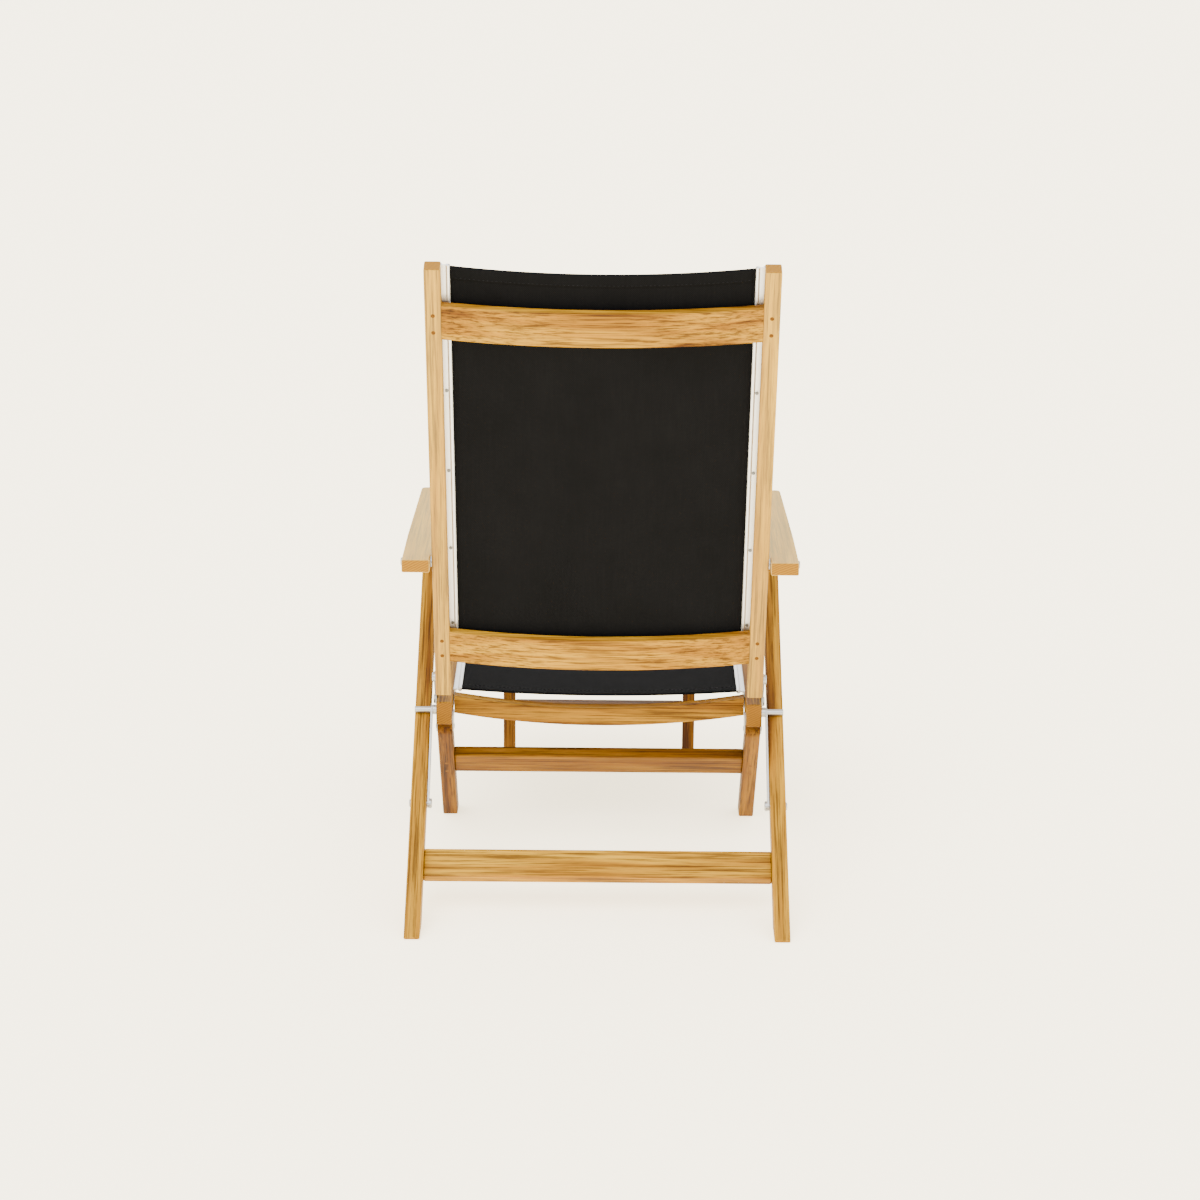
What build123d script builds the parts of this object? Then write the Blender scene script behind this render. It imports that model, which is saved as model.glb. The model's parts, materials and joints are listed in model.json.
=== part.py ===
from build123d import *
import os
from math import cos, hypot, radians, sin, sqrt, tan

# Folding deck chair. Millimetres, +Z up, front towards -Y, feet on Z = 0.
# The left side is at +X; side pieces are drawn there and mirrored.

# ---- Driving dimensions ----
seat_width = 530.0          # over the seat rails and the back stiles
leg_side_gap = 1.3          # link strap to rear leg
member_width = 25.0         # wooden members, across the chair
rail_height = 39.0
stile_depth = 28.0
rear_leg_depth = 36.0
front_leg_depth = 34.0
edge_round = 2.5
board_bevel = 1.6           # long edges of the bowed rails

link_height = 255.0         # stop pin above the floor
recline = 17.5              # back from the vertical, degrees
back_length = 822.0         # top of the stile above the hinge, along the stile
stile_start = 34.0          # lower end of the stile above the hinge
arm_up_back = 289.0         # arm pivot above the hinge, along the stile
rear_leg_slope = 35.5       # rear leg above the floor, degrees
leg_pivot_ahead = 420.0     # arm pivot of the rear leg ahead of the stop pin, along the leg
strap_length = 168.0        # stop pin to the bolt in the rear leg
front_leg_slope = 52.0      # front leg above the floor, degrees
seat_length = 510.0         # seat rail ahead of the stop pin

hinge_ahead = 30.0          # back hinge ahead of the stop pin
hinge_above = 8.0           # back hinge above the stop pin
hinge_drop = 8.0            # back hinge below the top of the seat rail
stile_set_back = 9.0        # front face of the stile behind the hinge
rail_tail = 10.0            # seat rail behind the stop pin
front_pivot_ahead = 34.0    # front leg pivot ahead of the stop pin

arm_gap = 3.0               # stile to armrest
arm_width = 44.0
arm_thickness = 21.0
arm_overhang = 30.0         # armrest beyond its pivot, at each end
arm_taper = 4.0             # outer edge drawn in towards the front
arm_taper_start = 140.0     # start of the taper ahead of the rear pivot

prop_width = 341.0
prop_thickness = 21.0
prop_depth = 28.0
prop_pivot_drop = 51.0      # prop pivot below the stop pin
prop_lift = 1.5             # the prop hangs just clear of the floor
prop_bar_top = 100.0        # top of the low crossbar above the floor
prop_bar_size = 26.0

back_rail_height = 58.0
back_rail_thickness = 15.0
back_rail_bow = 21.0        # bow of the back rails to the rear
top_rail_drop = 62.0        # top of the top rail below the stile's end
lower_rail_start = 102.0     # bottom of the lower rail above the hinge
seat_rail_height = 30.0
seat_rail_thickness = 22.0
seat_rail_bow = 20.0        # bow of the seat's cross rails, downward
rear_rail_ahead = 68.0      # rear face of the rear cross rail ahead of the stop pin
front_rail_inset = 2.0      # front cross rail behind the side rails' ends
board_inset = 1.0           # back rails inside the stiles' rear face
stretcher_height = 50.0
stretcher_thickness = 20.0
rear_stretcher_down = 277.0     # middle of the rear stretcher below the stop pin, along the leg
front_stretcher_down = 104.0    # middle of the front stretcher below the pivot, along the leg

bolt_radius = 4.0
head_radius = 8.0
head_height = 3.0
head_round = 2.1            # edge round of a head
slim_head_radius = 6.5      # heads on the outer faces
bolt_wall = 5.0             # wood left beyond a blind bolt
pin_stand = 1.0             # pins beyond the brackets that hold them
stop_pin_radius = 5.2
plate_thickness = 2.5
plate_width = 18.0
plate_bolt_up = 62.0        # bolt of the hinge plate above the hinge, along the stile
strap_thickness = 2.8
strap_width = 15.0
bracket_thickness = 2.5
bracket_length = 44.0
bracket_ahead = 4.0         # middle of the arm bracket's plate behind its pivot
arm_corner = 8.0            # plan corner of the armrest's front
cheek_lap = 2.0             # front leg bracket's bolt line above the rail's bottom
strap_nut_height = 4.4
plug_radius = 3.2
plug_depth = 6.0
plug_shares = (0.22, 0.72)  # places of two plugs in a rail's height
stretcher_plugs = (-0.25, 0.25)     # places of two plugs from a stretcher's middle
screw_on_web = 4.4          # screws of the back's sling rails, from the wood
screw_on_flange = 13.2      # screws of the seat's sling rails, below the web
screw_head_radius = 2.6
screw_head_height = 1.3
screw_count = 5

sling_thickness = 2.0
sling_clearance = 0.3
back_sling_sag = 16.0
seat_sling_sag = 14.0
web_width = 8.0             # sling rail: web between the wood and the tube
web_thickness = 2.0
tube_radius = 3.4
end_inset = 2.0             # sling rail inside the wood's end, and sling inside its rail
lower_end = 95.0            # lower end of the back's sling rail above the hinge
back_flange = 6.0           # sling rail: flange on the stile
seat_flange = 22.0          # sling rail: flange on the seat rail
back_sling_depth = 9.0      # sling rail behind the stile's front face
seat_sling_drop = 4.0       # sling rail below the seat rail's top

plate_relief = 0.3          # seat rail inside the stile's outer face, clear of the hinge plate
snug = 0.02                 # bolt in its own body
running = 0.08              # pin in a part that turns on it
gap = 0.4                   # between parts that slide past each other
joint_gap = 1.0             # wood to wood where a part folds over another
past = 1.0                  # how far a cutting shape reaches past a face


# ---- Directions and places in the side view, as (y, z) ----
def shifted(point, direction, ahead, normal=0.0):
    """A point moved along a direction, and to the side that the frames below call +Y."""
    dy, dz = direction
    return (point[0] + dy * ahead + dz * normal, point[1] + dz * ahead - dy * normal)


leg_up = (-cos(radians(rear_leg_slope)), sin(radians(rear_leg_slope)))
stile_up = (sin(radians(recline)), cos(radians(recline)))
front_leg_down = (-cos(radians(front_leg_slope)), -sin(radians(front_leg_slope)))

link_to_leg_face = stop_pin_radius + gap
link_to_leg_middle = link_to_leg_face + rear_leg_depth / 2
heel_angle = radians(rear_leg_slope)
heel_point = (link_height - link_to_leg_face / cos(heel_angle)) / tan(heel_angle)
heel_reach = heel_point - edge_round * (1 / tan(heel_angle / 2) - 1)
link_y = (seat_length - heel_reach) / 2

link = (link_y, link_height)
hinge = (link_y - hinge_ahead, link_height + hinge_above)
rail_top = hinge[1] + hinge_drop
rail_bottom = rail_top - rail_height
rail_front = link_y - seat_length
leg_middle = shifted(link, leg_up, 0, -link_to_leg_middle)
leg_pivot = shifted(leg_middle, leg_up, leg_pivot_ahead)
strap_along_leg = sqrt(strap_length ** 2 - link_to_leg_middle ** 2)
strap_bolt = shifted(leg_middle, leg_up, -strap_along_leg)
stile_middle = stile_set_back + stile_depth / 2
arm_pivot = shifted(hinge, stile_up, arm_up_back, stile_middle)
plate_bolt = shifted(hinge, stile_up, plate_bolt_up, stile_middle)
front_pivot = (link_y - front_pivot_ahead, rail_bottom - front_leg_depth / 2 - joint_gap)
front_rail_rear = rail_front + front_rail_inset + seat_rail_thickness
prop_pivot_height = link_height - prop_pivot_drop
prop_pivot = (front_rail_rear + prop_depth / 2, prop_pivot_height)

# The armrest stands above its front pivot by the leg's round end, the bracket and half its thickness.
arm_above_leg = rear_leg_depth / 2 + joint_gap + bracket_thickness + arm_thickness / 2
pivot_run = leg_pivot[0] - arm_pivot[0]
pivot_rise = leg_pivot[1] - arm_pivot[1]
pivot_span = hypot(pivot_run, pivot_rise)
arm_between = sqrt(pivot_span ** 2 - arm_above_leg ** 2)
arm_ahead = (
    (arm_between * pivot_run + arm_above_leg * pivot_rise) / pivot_span ** 2,
    (arm_between * pivot_rise - arm_above_leg * pivot_run) / pivot_span ** 2,
)

# ---- Places across the chair, from the middle ----
stile_outer = seat_width / 2
rail_inner = stile_outer - member_width
rail_outer = stile_outer - plate_relief
plate_outer = stile_outer + plate_thickness
strap_inner = plate_outer + head_height + gap
strap_outer = strap_inner + strap_thickness
leg_inner = strap_outer + leg_side_gap
leg_outer = leg_inner + member_width
arm_inner = stile_outer + arm_gap
arm_outer = arm_inner + arm_width
bracket_inner = leg_inner - gap - bracket_thickness
bracket_outer = leg_outer + gap + bracket_thickness
prop_outer = prop_width / 2
prop_inner = prop_outer - prop_thickness
blind_depth = member_width - bolt_wall
tube_x = rail_inner - web_width - tube_radius + web_thickness / 2
sling_half_width = tube_x - web_thickness


# ---- Frames: X across, Z along a direction, Y along its normal ----
def frame_at(point, direction):
    """The frame at a place in the side view, with Z along a direction."""
    origin = (0, point[0], point[1])
    along = (0, direction[0], direction[1])
    return Plane(origin=origin, x_dir=(1, 0, 0), z_dir=along).location


back_frame = frame_at(hinge, stile_up)
leg_frame = frame_at(leg_middle, leg_up)
front_leg_frame = frame_at(front_pivot, front_leg_down)
arm_frame = frame_at(arm_pivot, arm_ahead)


# ---- Shape helpers ----
def block(x_range, y_range, z_range):
    """A box from its ranges along the three axes."""
    spans = [high - low for low, high in (x_range, y_range, z_range)]
    middles = [(high + low) / 2 for low, high in (x_range, y_range, z_range)]
    return Pos(*middles) * Box(*spans)


def soften(piece):
    """A wooden member with all its edges rounded."""
    return fillet(piece.edges(), edge_round)


def rod(centre, radius, x_from, x_to):
    """A round bar across the chair at a place in the side view."""
    axis = Pos((x_from + x_to) / 2, centre[0], centre[1]) * Rot(0, 90, 0)
    return axis * Cylinder(radius, x_to - x_from)


def dome(centre, radius, x_base, height):
    """A round head that stands outward from a plane, or inward where the height is negative."""
    head = rod(centre, radius, min(x_base, x_base + height), max(x_base, x_base + height))
    rims = head.edges().filter_by(GeomType.CIRCLE).sort_by(Axis.X)
    return fillet(rims[-1] if height > 0 else rims[0], head_round)


def flat_link(start, end, width, x_from, x_to):
    """A flat bar with round ends between two places in the side view."""
    run, rise = end[0] - start[0], end[1] - start[1]
    length = hypot(run, rise)
    middle = ((start[0] + end[0]) / 2, (start[1] + end[1]) / 2)
    bar = frame_at(middle, (run / length, rise / length)) * block(
        (x_from, x_to), (-width / 2, width / 2), (-length / 2, length / 2)
    )
    return bar + rod(start, width / 2, x_from, x_to) + rod(end, width / 2, x_from, x_to)


def mirrored(piece):
    """The same piece on the other side of the chair."""
    return mirror(piece, about=Plane.YZ)


def solids_of(pieces):
    """One group of separate solids."""
    return Compound(children=[solid for piece in pieces for solid in piece.solids()])


def both(*pieces):
    """Left pieces and their mirror images as one group."""
    return solids_of([*pieces, *(mirrored(piece) for piece in pieces)])


def write(name, piece):
    """One node, to its own file."""
    export_step(piece, "parts/" + name + ".step")


def write_pair(name, piece):
    """A left node and its mirror image as the right one."""
    write(name + "_left", piece)
    write(name + "_right", mirrored(piece))


def bowed_board(half, thickness, bow, height):
    """A board along X whose middle stands out by the bow along +Y, extruded along +Z."""
    near = ThreePointArc((-half, 0, 0), (0, bow, 0), (half, 0, 0))
    right = Line((half, 0, 0), (half, thickness, 0))
    far = ThreePointArc((half, thickness, 0), (0, bow + thickness, 0), (-half, thickness, 0))
    left = Line((-half, thickness, 0), (-half, 0, 0))
    return extrude(make_face([near, right, far, left]), amount=height)


def leaning_leg(frame, pivot_z, x_range, depth):
    """A leg with a round top at its pivot, cut level at the floor."""
    reach = 2 * link_height / sin(radians(rear_leg_slope))
    low, high = (-reach, pivot_z) if pivot_z > 0 else (pivot_z, reach)
    bar = frame * block(x_range, (-depth / 2, depth / 2), (low, high))
    pivot_axis = frame * Pos((x_range[0] + x_range[1]) / 2, 0, pivot_z) * Rot(0, 90, 0)
    end = pivot_axis * Cylinder(depth / 2, x_range[1] - x_range[0])
    below = Pos(0, 0, -reach) * Box(2 * seat_width, 4 * reach, 2 * reach)
    leg = soften(bar + end - below)
    return leg - pivot_axis * Cylinder(bolt_radius + running, seat_width)


def sling_rail(frame, length, flange):
    """An aluminium rail along a frame's Z on the wood's inner face: flange, web and slotted tube."""
    web_y = (-web_thickness, 0)
    rail = block((rail_inner - web_thickness, rail_inner), (-flange, 0), (0, length))
    rail += block((rail_inner - web_width, rail_inner), web_y, (0, length))
    rail += Pos(tube_x, -web_thickness / 2, length / 2) * Cylinder(tube_radius, length)
    slot_half = sling_thickness / 2 + sling_clearance
    slot_y = (-web_thickness / 2 - slot_half, -web_thickness / 2 + slot_half)
    slot_x = (tube_x - 2 * tube_radius, tube_x - web_thickness / 2)
    rail -= block(slot_x, slot_y, (-past, length + past))
    return frame * rail


def sling(frame, length, sag, start):
    """A sheet along a frame's Z between the tubes, whose middle stands out along the frame's Y."""
    sheet = bowed_board(sling_half_width, sling_thickness, sag, length)
    return frame * Pos(0, -web_thickness / 2 - sling_thickness / 2, start) * sheet


os.makedirs("parts", exist_ok=True)

# ---- Seat frame ----
side_rail = soften(
    block((rail_inner, rail_outer), (rail_front, link_y + rail_tail), (rail_bottom, rail_top))
)
for pivot in (hinge, link):
    side_rail -= rod(pivot, bolt_radius + snug, rail_outer - blind_depth, rail_outer + past)
write_pair("seat_side_rail", side_rail)

seat_rail_half = rail_inner - web_thickness
seat_rail_top = rail_top - seat_sling_drop - web_thickness / 2 - tube_radius - gap
rear_rail_y = link_y - rear_rail_ahead
for name, rail_y in (("rear", rear_rail_y), ("front", front_rail_rear - seat_rail_thickness)):
    board = bowed_board(seat_rail_half, seat_rail_height, seat_rail_bow, seat_rail_thickness)
    board = chamfer(board.edges().filter_by(GeomType.CIRCLE), board_bevel)
    write("seat_cross_rail_" + name, Pos(0, rail_y, seat_rail_top) * Rot(-90, 0, 0) * board)

web_top = rail_top - seat_sling_drop
seat_rail_length = seat_length - rear_rail_ahead - end_inset
seat_sling_frame = frame_at((rear_rail_y, web_top), (-1, 0))
write_pair("seat_sling_rail", sling_rail(seat_sling_frame, seat_rail_length, seat_flange))
seat_sling_length = seat_rail_length - 2 * end_inset
write("seat_sling", sling(seat_sling_frame, seat_sling_length, -seat_sling_sag, end_inset))


def screw_row(frame, length, place, turn):
    """Pan heads along a sling rail, on a face given by a place and a turn in the rail's section."""
    heads = []
    for index in range(screw_count):
        along_rail = length * (index + 0.5) / screw_count
        head = Pos(place[0], place[1], along_rail) * turn * Cylinder(
            screw_head_radius, screw_head_height, align=(Align.CENTER, Align.CENTER, Align.MIN)
        )
        heads.append(frame * fillet(head.edges().sort_by(SortBy.LENGTH)[-1:], screw_head_height / 2))
    return heads


seat_screw_place = (rail_inner - web_thickness, -screw_on_flange)
seat_screws = screw_row(seat_sling_frame, seat_rail_length, seat_screw_place, Rot(0, -90, 0))
write("seat_sling_screws", both(*seat_screws))

hinge_bolt = rod(hinge, bolt_radius, rail_outer - blind_depth, plate_outer + running)
hinge_bolt += dome(hinge, head_radius, plate_outer + running, head_height)
write("back_hinge_bolts", both(hinge_bolt))
link_bolt = rod(link, bolt_radius, rail_outer - blind_depth, strap_outer - running)
link_bolt += rod(link, head_radius, rail_outer, strap_inner - running)
write("link_pivot_bolts", both(link_bolt))

cheek_top = (front_pivot[0], rail_bottom + cheek_lap)
cheeks = []
for cheek_x in ((rail_inner - web_thickness, rail_inner), (rail_outer, rail_outer + web_thickness)):
    cheek = flat_link(front_pivot, cheek_top, plate_width, *cheek_x)
    cheeks.append(cheek - rod(front_pivot, bolt_radius + snug, 0, leg_outer))
write("front_leg_brackets", both(*cheeks))
pin_reach = web_thickness + pin_stand
front_pin = rod(front_pivot, bolt_radius, rail_inner - pin_reach, rail_outer + pin_reach)
write("front_leg_pins", both(front_pin))

sling_low = seat_sling_drop + (web_thickness + sling_thickness) / 2 + seat_sling_sag
prop_cheek_top = (prop_pivot[0], rail_top - sling_low - joint_gap - prop_depth / 2)
prop_cheeks = []
for cheek_x in (
    (prop_inner - gap - web_thickness, prop_inner - gap),
    (prop_outer + gap, prop_outer + gap + web_thickness),
):
    cheek = flat_link(prop_pivot, prop_cheek_top, prop_depth, *cheek_x)
    prop_cheeks.append(cheek - rod(prop_pivot, bolt_radius + snug, 0, leg_outer))
write("prop_brackets", both(*prop_cheeks))
prop_pin = rod(prop_pivot, bolt_radius, prop_inner - gap - pin_reach, prop_outer + gap + pin_reach)
write("prop_pins", both(prop_pin))

# ---- Back ----
stile_face = stile_set_back
stile_rear = stile_set_back + stile_depth
stile = soften(block((rail_inner, stile_outer), (stile_face, stile_rear), (stile_start, back_length)))
stile = back_frame * stile
stile -= rod(plate_bolt, bolt_radius + snug, stile_outer - blind_depth, stile_outer + past)

plug_x = (rail_inner + stile_outer) / 2
rail_plug_places = []
top_rail_start = back_length - top_rail_drop - back_rail_height
for rail_start in (top_rail_start, lower_rail_start):
    for share in plug_shares:
        rail_plug_places.append(rail_start + back_rail_height * share)
plugs = []
for z in rail_plug_places:
    plug_place = back_frame * Pos(plug_x, stile_rear - plug_depth / 2, z) * Rot(90, 0, 0)
    plugs.append(plug_place * Cylinder(plug_radius, plug_depth))
    stile -= plug_place * Cylinder(plug_radius + snug, plug_depth)
write_pair("back_stile", stile)
write("back_dowel_plugs", both(*plugs))

rail_seat = stile_rear - back_rail_thickness - board_inset
for name, rail_start in (("top", top_rail_start), ("lower", lower_rail_start)):
    board = bowed_board(rail_inner, back_rail_thickness, back_rail_bow, back_rail_height)
    board = chamfer(board.edges().filter_by(GeomType.CIRCLE), board_bevel)
    write("back_" + name + "_rail", back_frame * Pos(0, rail_seat, rail_start) * board)

back_sling_frame = frame_at(shifted(hinge, stile_up, lower_end, stile_face + back_sling_depth), stile_up)
back_rail_length = back_length - lower_end - end_inset
write_pair("back_sling_rail", sling_rail(back_sling_frame, back_rail_length, back_flange))
back_sling_length = back_rail_length - 2 * end_inset
write("back_sling", sling(back_sling_frame, back_sling_length, back_sling_sag, end_inset))
back_screw_place = (rail_inner - screw_on_web, 0)
back_screws = screw_row(back_sling_frame, back_rail_length, back_screw_place, Rot(-90, 0, 0))
write("back_sling_screws", both(*back_screws))

plate = flat_link(hinge, plate_bolt, plate_width, stile_outer, plate_outer)
plate -= rod(hinge, bolt_radius + running, stile_outer - past, plate_outer + past)
plate -= rod(plate_bolt, bolt_radius + snug, stile_outer - past, plate_outer + past)
write("hinge_plates", both(plate))
plate_bolt_shape = rod(plate_bolt, bolt_radius, stile_outer - blind_depth, plate_outer)
plate_bolt_shape += dome(plate_bolt, head_radius, plate_outer, head_height)
write("hinge_plate_bolts", both(plate_bolt_shape))
write("arm_spacers", both(rod(arm_pivot, head_radius, stile_outer, arm_inner - gap)))

# ---- Arms ----
arm_front = arm_between + arm_overhang
outline = make_face(Polyline([
    (arm_inner, 0, -arm_overhang),
    (arm_outer, 0, -arm_overhang),
    (arm_outer, 0, arm_taper_start),
    (arm_outer - arm_taper, 0, arm_front),
    (arm_inner, 0, arm_front),
], close=True))
armrest = extrude(outline, amount=arm_thickness / 2, dir=(0, 1, 0), both=True)
corner = armrest.edges().filter_by(Axis.Y).sort_by(Axis.Z)[-2:]
armrest = arm_frame * soften(fillet(corner, arm_corner))
armrest -= rod(arm_pivot, bolt_radius + snug, arm_inner - past, arm_outer + past)
write_pair("armrest", armrest)
arm_bolt = rod(arm_pivot, bolt_radius, arm_inner, arm_outer)
arm_bolt += dome(arm_pivot, slim_head_radius, arm_outer, head_height)
write("arm_pivot_bolts", both(arm_bolt))

plate_y = (-arm_thickness / 2 - bracket_thickness, -arm_thickness / 2)
plate_middle = arm_between - bracket_ahead
plate_z = (plate_middle - bracket_length / 2, plate_middle + bracket_length / 2)
bracket = arm_frame * block((bracket_inner, bracket_outer), plate_y, plate_z)
cheek_z = (arm_between - plate_width / 2, arm_between + plate_width / 2)
for cheek_inner in (bracket_inner, bracket_outer - bracket_thickness):
    cheek_x = (cheek_inner, cheek_inner + bracket_thickness)
    bracket += rod(leg_pivot, plate_width / 2, *cheek_x)
    bracket += arm_frame * block(cheek_x, (-arm_above_leg, plate_y[0]), cheek_z)
bracket -= rod(leg_pivot, bolt_radius + snug, bracket_inner - past, bracket_outer + past)
write("arm_brackets", both(bracket))
leg_pin = rod(leg_pivot, bolt_radius, bracket_inner - pin_stand, bracket_outer + pin_stand)
write("leg_pivot_pins", both(leg_pin))

# ---- Rear legs ----
rear_leg = leaning_leg(leg_frame, leg_pivot_ahead, (leg_inner, leg_outer), rear_leg_depth)
rear_leg -= rod(strap_bolt, bolt_radius + snug, leg_inner - past, leg_outer + past)
write_pair("rear_leg", rear_leg)
stretcher = block(
    (-leg_inner, leg_inner),
    (-rear_leg_depth / 2, -rear_leg_depth / 2 + stretcher_thickness),
    (-rear_stretcher_down - stretcher_height / 2, -rear_stretcher_down + stretcher_height / 2),
)
write("rear_stretcher", leg_frame * soften(stretcher))
strap_bolt_shape = rod(strap_bolt, bolt_radius, strap_inner - running, leg_outer)
strap_bolt_shape += dome(strap_bolt, slim_head_radius, leg_outer, head_height)
strap_bolt_shape += dome(strap_bolt, head_radius, strap_inner - running, -strap_nut_height)
write("strap_bolts", both(strap_bolt_shape))

# ---- Links ----
strap = flat_link(link, strap_bolt, strap_width, strap_inner, strap_outer)
for pivot in (link, strap_bolt):
    strap -= rod(pivot, bolt_radius + running, strap_inner - past, strap_outer + past)
write_pair("link_strap", strap)
write("stop_pins", both(rod(link, stop_pin_radius, strap_outer, leg_outer)))

# ---- Front legs ----
front_leg = leaning_leg(front_leg_frame, 0, (rail_inner, rail_outer), front_leg_depth)
front_plug_places = [front_stretcher_down + stretcher_height * share for share in stretcher_plugs]
front_plugs = []
for z in front_plug_places:
    plug_place = front_leg_frame * Pos(plug_x, -front_leg_depth / 2 + plug_depth / 2, z) * Rot(90, 0, 0)
    front_plugs.append(plug_place * Cylinder(plug_radius, plug_depth))
    front_leg -= plug_place * Cylinder(plug_radius + snug, plug_depth)
write_pair("front_leg", front_leg)
write("front_leg_dowel_plugs", both(*front_plugs))
stretcher = block(
    (-rail_inner, rail_inner),
    (-stretcher_thickness / 2, stretcher_thickness / 2),
    (front_stretcher_down - stretcher_height / 2, front_stretcher_down + stretcher_height / 2),
)
write("front_stretcher", front_leg_frame * soften(stretcher))

# ---- Front prop ----
prop_leg = block(
    (prop_inner, prop_outer),
    (prop_pivot[0] - prop_depth / 2, prop_pivot[0] + prop_depth / 2),
    (prop_lift, prop_pivot_height),
)
prop_leg += rod(prop_pivot, prop_depth / 2, prop_inner, prop_outer)
prop_leg = soften(prop_leg)
prop_leg -= rod(prop_pivot, bolt_radius + running, prop_inner - past, prop_outer + past)
write_pair("prop_leg", prop_leg)
bar_y = (prop_pivot[0] - prop_bar_size / 2, prop_pivot[0] + prop_bar_size / 2)
for name, bar_top in (("low", prop_bar_top), ("upper", prop_pivot_height - prop_depth)):
    bar = block((-prop_inner, prop_inner), bar_y, (bar_top - prop_bar_size, bar_top))
    write("prop_" + name + "_crossbar", soften(bar))
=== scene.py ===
import json
import math

import bmesh
import bpy
from mathutils import Matrix, Vector


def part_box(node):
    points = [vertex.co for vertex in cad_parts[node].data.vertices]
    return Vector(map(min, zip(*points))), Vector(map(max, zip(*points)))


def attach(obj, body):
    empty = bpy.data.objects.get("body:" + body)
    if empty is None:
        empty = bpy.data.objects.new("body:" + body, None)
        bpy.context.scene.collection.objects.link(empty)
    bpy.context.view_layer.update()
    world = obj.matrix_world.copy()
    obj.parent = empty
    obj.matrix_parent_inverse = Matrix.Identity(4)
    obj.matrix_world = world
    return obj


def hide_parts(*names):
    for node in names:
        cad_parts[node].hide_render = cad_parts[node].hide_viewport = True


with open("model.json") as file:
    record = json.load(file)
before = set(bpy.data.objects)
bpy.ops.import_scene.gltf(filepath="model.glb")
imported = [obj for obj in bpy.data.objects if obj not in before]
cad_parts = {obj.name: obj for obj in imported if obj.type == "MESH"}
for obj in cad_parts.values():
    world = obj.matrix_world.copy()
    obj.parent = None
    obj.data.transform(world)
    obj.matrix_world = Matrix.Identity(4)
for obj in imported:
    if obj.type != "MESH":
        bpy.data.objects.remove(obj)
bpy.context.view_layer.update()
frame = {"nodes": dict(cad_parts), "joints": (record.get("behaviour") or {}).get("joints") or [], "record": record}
nodes = frame["nodes"]
joints = {joint["name"]: Vector(joint["pos_m"]) for joint in frame["joints"]}
slots = {part["node"]: part["material_slot"] for part in frame["record"]["subparts"]}

# ---- Directions and places, from the frame ----
ACROSS = Vector((1, 0, 0))
UP = Vector((0, 0, 1))
FORWARD = Vector((0, -1, 0))


def middle_of(node):
    """The middle of a node's box, on the chair's middle plane."""
    low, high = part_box(node)
    return Vector((0, (low[1] + high[1]) / 2, (low[2] + high[2]) / 2))


def spans(node, *directions):
    """(lowest, highest) of a node's vertices along each direction."""
    points = [vertex.co for vertex in nodes[node].data.vertices]
    result = []
    for direction in directions:
        reach = [point.dot(direction) for point in points]
        result.append((min(reach), max(reach)))
    return result


stile_up = (middle_of("back_top_rail") - middle_of("back_lower_rail")).normalized()
stile_rear = Vector((0, stile_up.z, -stile_up.y))
leg_up = (joints["arm_swing"] - joints["leg_swing"]).normalized()


# ---- Scene helpers ----
def linked(name, data):
    """A new object in the scene, around a mesh, a light or a camera."""
    obj = bpy.data.objects.new(name, data)
    bpy.context.scene.collection.objects.link(obj)
    return obj


def smooth_object(name, mesh):
    """A new smooth-shaded object around a mesh."""
    mesh.polygons.foreach_set("use_smooth", [True] * len(mesh.polygons))
    return linked(name, mesh)


# ---- Shader node helpers ----
def new_material(name):
    """An empty material: itself, its node tree and its shader."""
    material = bpy.data.materials.new(name)
    material.use_nodes = True
    tree = material.node_tree
    tree.nodes.clear()
    output = tree.nodes.new("ShaderNodeOutputMaterial")
    shader = tree.nodes.new("ShaderNodeBsdfPrincipled")
    tree.links.new(shader.outputs[0], output.inputs[0])
    return material, tree, shader


def add(tree, kind, **settings):
    """A new shader node of a kind, with its settings."""
    node = tree.nodes.new("ShaderNode" + kind)
    for key, value in settings.items():
        setattr(node, key, value)
    return node


def math_node(tree, operation, first, second=None, third=None, clamp=False):
    """The result of a math node on numbers or sockets."""
    node = add(tree, "Math", operation=operation, use_clamp=clamp)
    for socket, value in zip(node.inputs, (first, second, third)):
        if value is None:
            continue
        if isinstance(value, (int, float)):
            socket.default_value = value
        else:
            tree.links.new(value, socket)
    return node.outputs[0]


def ramp(tree, factor, stops):
    """A colour ramp through (place, colour) stops."""
    node = add(tree, "ValToRGB")
    elements = node.color_ramp.elements
    while len(elements) < len(stops):
        elements.new(0.5)
    for element, (place, colour) in zip(elements, stops):
        element.position = place
        element.color = (*colour, 1)
    tree.links.new(factor, node.inputs[0])
    return node.outputs[0]


def mix_colour(tree, factor, first, second, blend="MIX"):
    """Two colours mixed; a Mix node has its colours at inputs 6 and 7 and its mixed colour at output 2."""
    node = add(tree, "Mix", data_type="RGBA", blend_type=blend)
    sockets = (node.inputs[0], node.inputs[6], node.inputs[7])
    for socket, value in zip(sockets, (factor, first, second)):
        if isinstance(value, (int, float)):
            socket.default_value = value
        elif isinstance(value, tuple):
            socket.default_value = (*value, 1)
        else:
            tree.links.new(value, socket)
    return node.outputs[2]


MEMBER_SHIFT = (0.37, 0.71, 1.13)


def member_coordinates(tree, along, seed):
    """Object coordinates with Z along a member, shifted so that no two members match, and the normal."""
    coordinates = add(tree, "TexCoord")
    turn = add(tree, "Mapping", vector_type="POINT")
    turn.inputs["Rotation"].default_value = along.rotation_difference(UP).to_euler()
    turn.inputs["Location"].default_value = tuple(seed * shift for shift in MEMBER_SHIFT)
    tree.links.new(coordinates.outputs["Object"], turn.inputs[0])
    return turn.outputs[0], coordinates.outputs["Normal"]


def stretched(tree, vector, scale):
    """A vector scaled apart along its three axes."""
    mapping = add(tree, "Mapping", vector_type="POINT")
    mapping.inputs["Scale"].default_value = scale
    tree.links.new(vector, mapping.inputs[0])
    return mapping.outputs[0]


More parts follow.
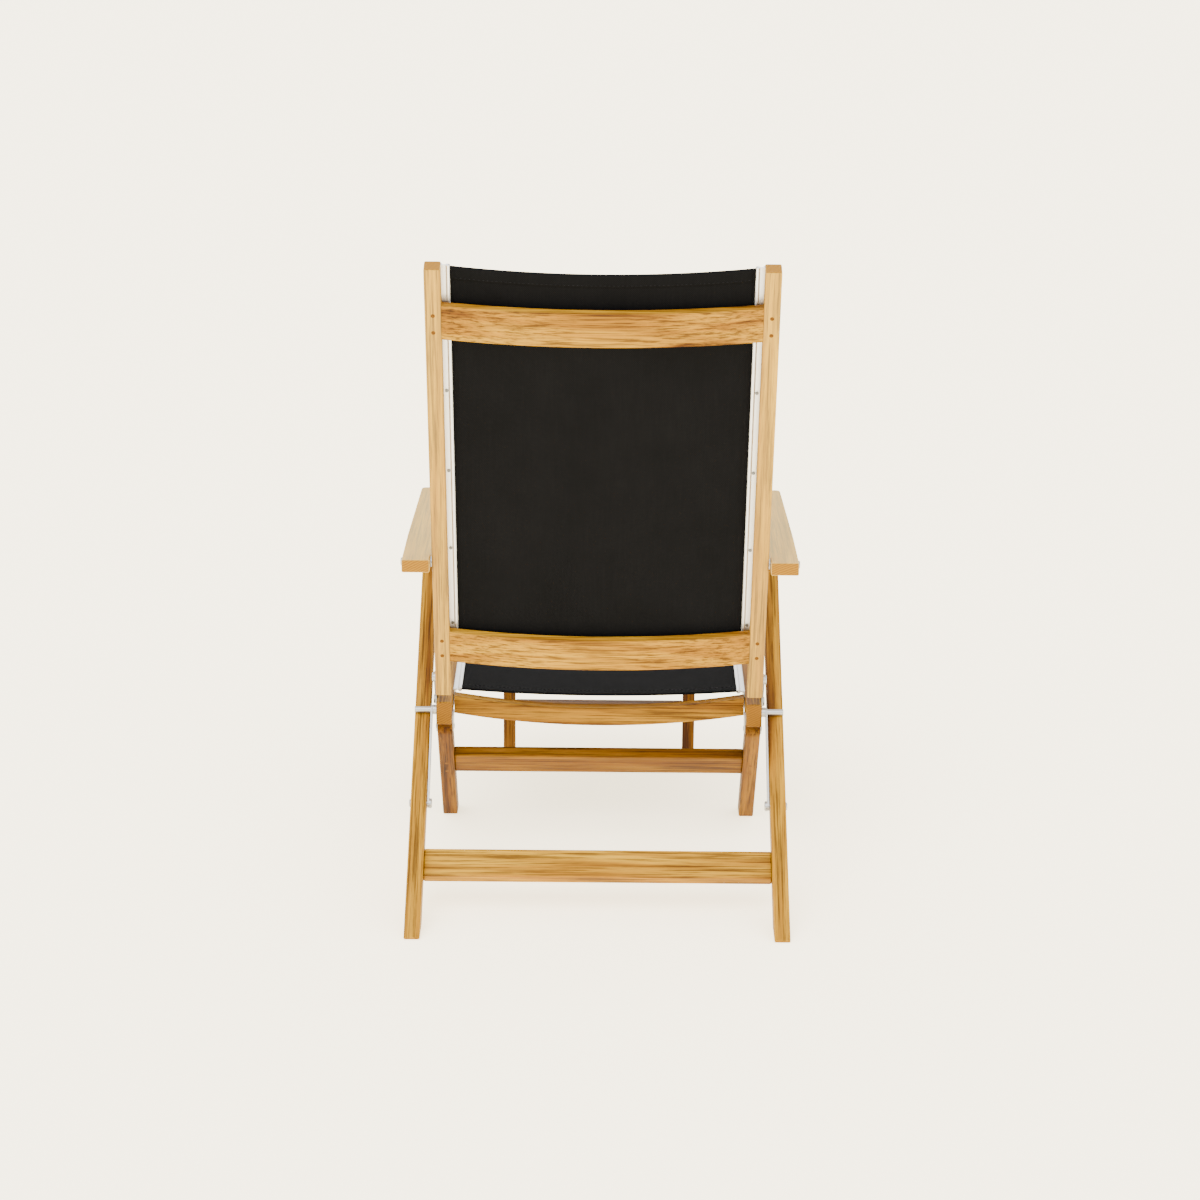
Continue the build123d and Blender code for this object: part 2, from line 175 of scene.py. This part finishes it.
def noise(tree, vector, detail, rough, distortion=0.0, scale=1.0):
    """A noise texture's value."""
    node = add(tree, "TexNoise")
    node.inputs["Scale"].default_value = scale
    node.inputs["Detail"].default_value = detail
    node.inputs["Roughness"].default_value = rough
    node.inputs["Distortion"].default_value = distortion
    tree.links.new(vector, node.inputs["Vector"])
    return node.outputs["Fac"]


def wave(tree, vector, scale, distortion, detail, detail_scale=1.0, **settings):
    """A wave texture's value."""
    node = add(tree, "TexWave", **settings)
    node.inputs["Scale"].default_value = scale
    node.inputs["Distortion"].default_value = distortion
    node.inputs["Detail"].default_value = detail
    node.inputs["Detail Scale"].default_value = detail_scale
    tree.links.new(vector, node.inputs["Vector"])
    return node.outputs["Fac"]


def bump(tree, shader, height, distance, strength):
    """Relief on a shader's surface."""
    node = add(tree, "Bump")
    node.inputs["Distance"].default_value = distance
    node.inputs["Strength"].default_value = strength
    tree.links.new(height, node.inputs["Height"])
    tree.links.new(node.outputs[0], shader.inputs["Normal"])


# ---- Wood ----
WHITE = (1, 1, 1)
TEAK_PALE = (0.42, 0.225, 0.012)
TEAK_MIDDLE = (0.31, 0.142, 0.006)
TEAK_DARK = (0.115, 0.040, 0.002)
TEAK_END = (0.20, 0.085, 0.006)
WEATHERED = (0.80, 0.60, 0.22)
LINE_SHADE = (0.58, 0.50, 0.42)
STREAK_SHADE = (0.22, 0.16, 0.11)
STREAK_LIGHT = (1.35, 1.3, 1.15)
PORE_SHADE = (0.42, 0.32, 0.24)
# Pattern scales: twice across the member, then along it.
FIGURE_SCALE = (34, 34, 1.6)
STREAK_SCALE = (330, 330, 7.0)
PORE_SCALE = (900, 900, 26)
GROWTH_SCALE = (1, 1, 0.05)
GROWTH_BANDS = 26
END_RINGS = 90
# How strongly each pattern darkens the ones before it.
LINE_SHARE = 0.55
STREAK_SHARE = 0.80
PORE_SHARE = 0.5
END_STARTS = 0.72            # how squarely a face looks along the member before it shows end grain
END_SHARPNESS = 6.0
WOOD_ROUGH = 0.42
STREAK_ROUGH = 0.22
WOOD_SPECULAR = 0.10
STREAK_RELIEF = 0.7
WOOD_RELIEF = 0.0005
WOOD_RELIEF_STRENGTH = 0.6
TONE_AND_SHADE_GREEN = 1.25            # a darker tone, painted shade included, loses more green than red,
TONE_AND_SHADE_BLUE = 1.5              # and more blue than green


def side_grain(tree, place, streaks, pores):
    """Broad figure, darkened by growth lines, streaks and pores."""
    figure = noise(tree, stretched(tree, place, FIGURE_SCALE), 3.0, 0.5, 0.9)
    bands = stretched(tree, place, GROWTH_SCALE)
    growth = wave(tree, bands, GROWTH_BANDS, 7, 3, 0.8, wave_type="BANDS", bands_direction="DIAGONAL")
    grain = ramp(tree, figure, [(0.30, TEAK_DARK), (0.42, TEAK_MIDDLE), (0.64, TEAK_PALE)])
    lines = ramp(tree, growth, [(0.05, LINE_SHADE), (0.38, WHITE)])
    grain = mix_colour(tree, LINE_SHARE, grain, lines, "MULTIPLY")
    fine = ramp(tree, streaks, [(0.40, STREAK_SHADE), (0.50, WHITE), (0.66, STREAK_LIGHT)])
    grain = mix_colour(tree, STREAK_SHARE, grain, fine, "MULTIPLY")
    specks = ramp(tree, pores, [(0.32, PORE_SHADE), (0.44, WHITE)])
    return mix_colour(tree, PORE_SHARE, grain, specks, "MULTIPLY")


def end_grain(tree, place):
    """Growth rings across the member."""
    rings = wave(tree, place, END_RINGS, 3, 4, wave_type="RINGS", rings_direction="Z")
    return ramp(tree, rings, [(0.1, TEAK_END), (0.9, TEAK_MIDDLE)])


def end_share(tree, normal, along):
    """0 on the sides of a member and 1 on its ends."""
    facing = add(tree, "VectorMath", operation="DOT_PRODUCT")
    facing.inputs[1].default_value = along
    tree.links.new(normal, facing.inputs[0])
    squareness = math_node(tree, "ABSOLUTE", facing.outputs["Value"])
    past_start = math_node(tree, "SUBTRACT", squareness, END_STARTS)
    return math_node(tree, "MULTIPLY", past_start, END_SHARPNESS, clamp=True)


def wood(name, along, seed, tone_and_painted_shade=1.0, weathering=0.0):
    """Oiled teak, with its grain along the member and rings on its ends."""
    material, tree, shader = new_material(name)
    place, normal = member_coordinates(tree, along, seed)
    streaks = noise(tree, stretched(tree, place, STREAK_SCALE), 5.0, 0.66)
    pores = noise(tree, stretched(tree, place, PORE_SCALE), 2.0, 0.5)
    grain = side_grain(tree, place, streaks, pores)
    if weathering:
        grain = mix_colour(tree, weathering, grain, WEATHERED)
    colour = mix_colour(tree, end_share(tree, normal, along), grain, end_grain(tree, place))
    # Multiplies in the part's tone and its painted shade.
    tone_and_painted_shade_colour = (tone_and_painted_shade, tone_and_painted_shade ** TONE_AND_SHADE_GREEN, tone_and_painted_shade ** TONE_AND_SHADE_BLUE)
    colour = mix_colour(tree, 1.0, colour, tone_and_painted_shade_colour, "MULTIPLY")
    tree.links.new(colour, shader.inputs["Base Color"])
    rough = math_node(tree, "MULTIPLY_ADD", streaks, STREAK_ROUGH, WOOD_ROUGH)
    tree.links.new(rough, shader.inputs["Roughness"])
    shader.inputs["Specular IOR Level"].default_value = WOOD_SPECULAR
    relief = math_node(tree, "ADD", math_node(tree, "MULTIPLY", streaks, STREAK_RELIEF), pores)
    bump(tree, shader, relief, WOOD_RELIEF, WOOD_RELIEF_STRENGTH)
    return material


# ---- Metal ----
BRUSH_SCALE = (1500, 1500, 14)
MARK_SCALE = 38
LINE_WEIGHT = 0.6
MARK_WEIGHT = 0.4
METAL_DARKENING = 0.84
METAL_ROUGH_SPREAD = 0.25
BRUSH_RELIEF = 0.0001


def metal(name, along, seed, colour, rough, brushed):
    """Brushed or anodised metal: fine lines along the part, light handling marks."""
    material, tree, shader = new_material(name)
    place, _ = member_coordinates(tree, along, seed)
    lines = noise(tree, stretched(tree, place, BRUSH_SCALE), 3.0, 0.6)
    marks = noise(tree, place, 5.0, 0.6, 0.4, MARK_SCALE)
    shader.inputs["Metallic"].default_value = 1.0
    darker = tuple(channel * METAL_DARKENING for channel in colour)
    weighted_lines = math_node(tree, "MULTIPLY", lines, LINE_WEIGHT)
    weighted_marks = math_node(tree, "MULTIPLY", marks, MARK_WEIGHT)
    mixed = math_node(tree, "ADD", weighted_lines, weighted_marks)
    tint = ramp(tree, mixed, [(0.30, darker), (0.62, colour)])
    tree.links.new(tint, shader.inputs["Base Color"])
    roughness = math_node(tree, "MULTIPLY_ADD", mixed, METAL_ROUGH_SPREAD, rough)
    tree.links.new(roughness, shader.inputs["Roughness"])
    bump(tree, shader, lines, BRUSH_RELIEF, brushed)
    return material


# ---- Fabric ----
THREAD = 0.0016              # width of one coated thread
WEAR_SCALE = (9, 9, 9)
SLUB_SCALE = (420, 60, 18)
THREAD_GAP_PAINTED_SHADE = 0.35          # painted shade in the gaps between threads, as a share of the colour
THREAD_TOP_PAINTED_HIGHLIGHT = 1.7           # painted highlight on the tops of the threads, as a share of the colour
WEAR_SHARE = 0.7
SLUB_SHARE = 0.5
FABRIC_ROUGH = 0.85
FABRIC_SPECULAR = 0.04
WEAVE_RELIEF = 0.0005
WEAVE_RELIEF_STRENGTH = 0.7


def weave_height(tree, place):
    """0 to 1 over a plain weave: a high thread crossing at every second place."""
    parts = add(tree, "SeparateXYZ")
    tree.links.new(place, parts.inputs[0])
    turns = 2 * math.pi / (2 * THREAD)
    across = math_node(tree, "SINE", math_node(tree, "MULTIPLY", parts.outputs["X"], turns))
    lengthwise = math_node(tree, "SINE", math_node(tree, "MULTIPLY", parts.outputs["Z"], turns))
    over = math_node(tree, "MULTIPLY", across, lengthwise)
    return math_node(tree, "MULTIPLY_ADD", over, 0.5, 0.5)


def sling_fabric(name, along, colour):
    """A mesh of coated threads, over and under, with painted shade in the gaps between threads and a painted
    highlight on their tops, slight wear and uneven threads.
    """
    material, tree, shader = new_material(name)
    place, _ = member_coordinates(tree, along, 0)
    height = weave_height(tree, place)
    wear = noise(tree, stretched(tree, place, WEAR_SCALE), 4.0, 0.6)
    slub = noise(tree, stretched(tree, place, SLUB_SCALE), 3.0, 0.6)
    # Painted shade in the gaps between threads and a painted highlight on the thread tops.
    low = tuple(channel * THREAD_GAP_PAINTED_SHADE for channel in colour)
    high = tuple(channel * THREAD_TOP_PAINTED_HIGHLIGHT for channel in colour)
    weave_wear_and_painted_light = ramp(tree, height, [(0.08, low), (0.5, colour), (1.0, high)])
    shade = ramp(tree, wear, [(0.3, (0.8, 0.8, 0.8)), (0.7, (1.2, 1.2, 1.22))])
    weave_wear_and_painted_light = mix_colour(tree, WEAR_SHARE, weave_wear_and_painted_light, shade, "MULTIPLY")
    slubs = ramp(tree, slub, [(0.35, (0.8, 0.8, 0.8)), (0.7, (1.2, 1.2, 1.2))])
    weave_wear_and_painted_light = mix_colour(tree, SLUB_SHARE, weave_wear_and_painted_light, slubs, "MULTIPLY")
    tree.links.new(weave_wear_and_painted_light, shader.inputs["Base Color"])
    shader.inputs["Roughness"].default_value = FABRIC_ROUGH
    shader.inputs["Specular IOR Level"].default_value = FABRIC_SPECULAR
    bump(tree, shader, height, WEAVE_RELIEF, WEAVE_RELIEF_STRENGTH)
    return material


# ---- Materials on the CAD nodes ----
ARM_FALL = 0.046             # the armrest's fall to the front, per unit of length
LEG_WIDTH_Y = 0.043          # what a front leg's own width adds to its box along Y
LEG_WIDTH_Z = 0.017          # and along Z
# Tables by the start of a node's name.
# Painted shade: each factor darkens a part that stands in shade, most of all the front and prop legs.
PAINTED_SHADE_BY_PART = {"front_": 0.42, "prop_": 0.40, "rear_leg": 0.88, "seat_": 0.68, "back_top": 0.9}
WEATHERING = {"armrest": 0.36, "back_stile": 0.12}
PLUG_TONE = 0.45
ALUMINIUM = (0.86, 0.86, 0.85)
ALUMINIUM_ROUGH = 0.34
ALUMINIUM_BRUSHED = 0.15
STEEL_SHADE = 0.42
# Screws darker than the other steel: painted shade of the recesses they sit in.
SCREW_PAINTED_SHADE = 0.16
STEEL_BLUE = 0.98            # steel's blue, as a share of its red and green
STEEL_ROUGH = 0.25
STEEL_BRUSHED = 0.2

front_low, front_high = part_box("front_leg_left")
front_rise = (0, front_high.y - front_low.y - LEG_WIDTH_Y, front_high.z - front_low.z - LEG_WIDTH_Z)
member_directions = {
    "back_stile": stile_up,
    "rear_leg": leg_up,
    "armrest": Vector((0, -1, -ARM_FALL)).normalized(),
    "front_leg": Vector(front_rise).normalized(),
    "seat_side_rail": FORWARD,
    "prop_leg": UP,
}


def by_start(table, node, otherwise):
    """The table's value for the start of a node's name."""
    return next((value for start, value in table.items() if node.startswith(start)), otherwise)


def node_material(node, slot, seed):
    """The material of a CAD node by its slot, or None for the slings, which cloth replaces."""
    if slot == "teak":
        along = by_start(member_directions, node, ACROSS)
        # Painted shade of the part, from its table.
        tone_and_painted_shade = by_start(PAINTED_SHADE_BY_PART, node, 1.0)
        return wood(node + "_teak", along, seed, tone_and_painted_shade, by_start(WEATHERING, node, 0.0))
    if slot == "plug_wood":
        return wood(node + "_wood", stile_rear, seed, PLUG_TONE)
    if slot == "aluminium_rail":
        along = stile_up if node.startswith("back") else FORWARD
        return metal(node + "_aluminium", along, seed, ALUMINIUM, ALUMINIUM_ROUGH, ALUMINIUM_BRUSHED)
    if slot == "steel":
        # Screws get the painted shade of their recesses.
        shade = SCREW_PAINTED_SHADE if node.endswith("screws") else STEEL_SHADE
        colour = (shade, shade, shade * STEEL_BLUE)
        return metal(node + "_steel", ACROSS, seed, colour, STEEL_ROUGH, STEEL_BRUSHED)
    return None


for seed, node in enumerate(nodes, start=2):
    material = node_material(node, slots[node], seed)
    if material:
        mesh = nodes[node].data
        mesh.materials.clear()
        mesh.materials.append(material)

# ---- Slings ----
CAD_THICKNESS = 0.002        # the plain sheet that the cloth replaces
FABRIC_THICKNESS = 0.0014
END_SHALLOWING = 0.22        # how much of the sag is gone at the hems
HEM_DIP = 0.006              # the stretched hem is drawn in between its two ends
HEM_HEIGHT = 0.022
HEM_RAISE = 0.0011
HEM_EDGE = 0.25              # height of a hem's long edges, as a share of HEM_RAISE
HEM_THICKNESS = 0.0007
HEM_STEPS = 6
STITCH_LENGTH = 0.0045
STITCH_GAP = 0.0022
STITCH_RADIUS = 0.0004
STITCH_INSET = 0.004         # from the hem's inner edge, and from the ends of the row
STITCH_LIFT = 0.0006
STITCH_AHEAD = 0.004         # share of the half width looked ahead to find a stitch's direction
CLOTH_COLUMNS = 56
CLOTH_LINES = 110
ACROSS_SHARES = [2 * c / CLOTH_COLUMNS - 1 for c in range(CLOTH_COLUMNS + 1)]
SLING_BLACK = (0.0040, 0.0040, 0.0042)
THREAD_BLACK = (0.014, 0.014, 0.015)
sling_material = sling_fabric("sling_mesh", stile_up, SLING_BLACK)
seat_material = sling_fabric("seat_sling_mesh", FORWARD, SLING_BLACK)
thread_material = sling_fabric("hem_thread", ACROSS, THREAD_BLACK)


class SlingShape:
    """A stretched sheet between two side rails, by the share across, -1 to 1, and the place along."""

    def __init__(self, node, along, outward, sag_sign):
        (_, self.half), (self.start, self.end), (low, high) = spans(node, ACROSS, along, outward)
        self.along, self.outward = along, outward
        self.sag = (high - low - CAD_THICKNESS) * sag_sign
        self.edge = (low if sag_sign > 0 else high) + CAD_THICKNESS / 2 * sag_sign

    def dip(self, along):
        """How far the cloth is drawn in at its middle: all at the hems, nothing half way."""
        middle = (self.start + self.end) / 2
        share = (along - middle) / (self.end - middle)
        return -HEM_DIP * share ** 3

    def point(self, across, along, raised=0.0):
        """A point of the sheet, raised from it along its outward direction."""
        hollow = 1 - across * across
        ends = abs(2 * (along - self.start) / (self.end - self.start) - 1)
        depth = self.sag * hollow * (1.0 - END_SHALLOWING * ends ** 3)
        place = along + self.dip(along) * hollow
        height = self.edge + depth + raised
        return ACROSS * (self.half * across) + self.along * place + self.outward * height


def grid_object(name, rows):
    """A smooth mesh object from rows of points."""
    mesh = bpy.data.meshes.new(name)
    width = len(rows[0])
    vertices = [point for row in rows for point in row]
    faces = []
    for r in range(len(rows) - 1):
        for c in range(width - 1):
            first = r * width + c
            faces.append((first, first + 1, first + 1 + width, first + width))
    mesh.from_pydata(vertices, [], faces)
    return smooth_object(name, mesh)


def solidified(obj, thickness):
    """The object with a thickness, half of it on each side."""
    modifier = obj.modifiers.new("thickness", "SOLIDIFY")
    modifier.thickness = thickness
    modifier.offset = 0.0
    return obj


def stitch_row(name, shape, along, raised):
    """A row of short thread stitches across the sling."""
    mesh = bpy.data.meshes.new(name)
    bm = bmesh.new()
    pitch = STITCH_LENGTH + STITCH_GAP
    count = int(2 * (shape.half - STITCH_INSET) / pitch)
    size = Matrix.Diagonal((STITCH_RADIUS, STITCH_RADIUS, STITCH_LENGTH / 2, 1))
    for index in range(count):
        share = ((index + 0.5) * pitch - count * pitch / 2) / shape.half
        centre = shape.point(share, along, raised)
        ahead = (shape.point(share + STITCH_AHEAD, along, raised) - centre).normalized()
        turn = UP.rotation_difference(ahead).to_matrix().to_4x4()
        place = Matrix.Translation(centre) @ turn
        bmesh.ops.create_icosphere(bm, subdivisions=1, radius=1.0, matrix=place @ size)
    bm.to_mesh(mesh)
    bm.free()
    mesh.materials.append(thread_material)
    return smooth_object(name, mesh)


def build_hem(name, shape, material, end, inward, side):
    """One hem on one face of the cloth, lower along its two long edges, and its row of stitches."""
    rows = []
    for step in range(HEM_STEPS + 1):
        share = step / HEM_STEPS
        crown = math.sin(math.pi * share) ** 0.5 if 0 < share < 1 else 0.0
        along = end + inward * HEM_HEIGHT * share
        raised = side * (FABRIC_THICKNESS / 2 + HEM_RAISE * (HEM_EDGE + (1 - HEM_EDGE) * crown))
        rows.append([shape.point(across, along, raised) for across in ACROSS_SHARES])
    hem = solidified(grid_object(name, rows), HEM_THICKNESS)
    hem.data.materials.append(material)
    stitch_along = end + inward * (HEM_HEIGHT - STITCH_INSET)
    lift = side * (FABRIC_THICKNESS / 2 + HEM_RAISE + STITCH_LIFT)
    return [hem, stitch_row(name + "_stitches", shape, stitch_along, lift)]


def build_sling(name, node, body, shape, material):
    """A sling's cloth with its four hems, in place of its CAD node."""
    rows = []
    for line in range(CLOTH_LINES + 1):
        along = shape.start + (shape.end - shape.start) * line / CLOTH_LINES
        rows.append([shape.point(across, along) for across in ACROSS_SHARES])
    sheet = solidified(grid_object(name, rows), FABRIC_THICKNESS)
    sheet.data.materials.append(material)
    extras = []
    for end, inward, end_name in ((shape.start, 1, "near"), (shape.end, -1, "far")):
        for side, side_name in ((1, "outer"), (-1, "inner")):
            label = f"{name}_hem_{end_name}_{side_name}"
            extras += build_hem(label, shape, material, end, inward, side)
    for piece in (sheet, *extras):
        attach(piece, body)
    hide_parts(node)


back_shape = SlingShape("back_sling", stile_up, stile_rear, 1)
seat_shape = SlingShape("seat_sling", FORWARD, UP, -1)
build_sling("back_sling_cloth", "back_sling", "back", back_shape, sling_material)
build_sling("seat_sling_cloth", "seat_sling", "seat_frame", seat_shape, seat_material)

# ---- Stage and light ----
HALF_FLOOR = 30.0
FLOOR_COLOUR = (0.97, 0.90, 0.74, 1)
FLOOR_GLOW = (1.0, 0.86, 0.58, 1)
FLOOR_GLOW_STRENGTH = 2.4
FLOOR_ROUGH = 0.9
FLOOR_SPECULAR = 0.1
WORLD_COLOUR = (1.0, 0.985, 0.955, 1)
WORLD_STRENGTH = 2.5
# Each light's direction, its softness in degrees and its strength.
SUNS = {
    "key": ((0.5, 0.9, 1.3), 50, 2.8),
    "fill": ((-0.9, 0.5, 0.6), 70, 0.8),
    "front": ((0.1, -0.8, 1.0), 70, 0.4),
}

floor_mesh = bpy.data.meshes.new("floor")
corners = [(x * HALF_FLOOR, y * HALF_FLOOR, 0) for x, y in ((-1, -1), (1, -1), (1, 1), (-1, 1))]
floor_mesh.from_pydata(corners, [], [(0, 1, 2, 3)])
floor = linked("floor", floor_mesh)
floor_material, _, floor_shader = new_material("studio_floor")
floor_shader.inputs["Base Color"].default_value = FLOOR_COLOUR
floor_shader.inputs["Emission Color"].default_value = FLOOR_GLOW
floor_shader.inputs["Emission Strength"].default_value = FLOOR_GLOW_STRENGTH
floor_shader.inputs["Roughness"].default_value = FLOOR_ROUGH
floor_shader.inputs["Specular IOR Level"].default_value = FLOOR_SPECULAR
floor_mesh.materials.append(floor_material)

world = bpy.data.worlds.new("studio")
bpy.context.scene.world = world
world.use_nodes = True
background = world.node_tree.nodes["Background"]
background.inputs[0].default_value = WORLD_COLOUR
background.inputs[1].default_value = WORLD_STRENGTH

for name, (toward, softness, strength) in SUNS.items():
    light = bpy.data.lights.new(name, "SUN")
    light.energy = strength
    light.angle = math.radians(softness)
    linked(name, light).rotation_euler = Vector(toward).to_track_quat("Z", "Y").to_euler()

# ---- Camera ----
FRAME_PIXELS = 1200
FOCAL_PIXELS = 3100
SENSOR_WIDTH = 36            # millimetres
CAMERA_BEHIND = 4.830
CAMERA_HEIGHT = 1.987
CAMERA_PITCH = 18.0          # degrees, looking down
CAMERA_ROLL = 0.5            # degrees
camera_data = bpy.data.cameras.new("camera")
camera_data.sensor_width = SENSOR_WIDTH
camera_data.lens = SENSOR_WIDTH * FOCAL_PIXELS / FRAME_PIXELS
camera = linked("camera", camera_data)
camera.location = (0, CAMERA_BEHIND, CAMERA_HEIGHT)
turn = Matrix.Rotation(math.pi, 4, "Z") @ Matrix.Rotation(math.radians(90 - CAMERA_PITCH), 4, "X")
camera.rotation_euler = (turn @ Matrix.Rotation(math.radians(CAMERA_ROLL), 4, "Z")).to_euler()
bpy.context.scene.camera = camera
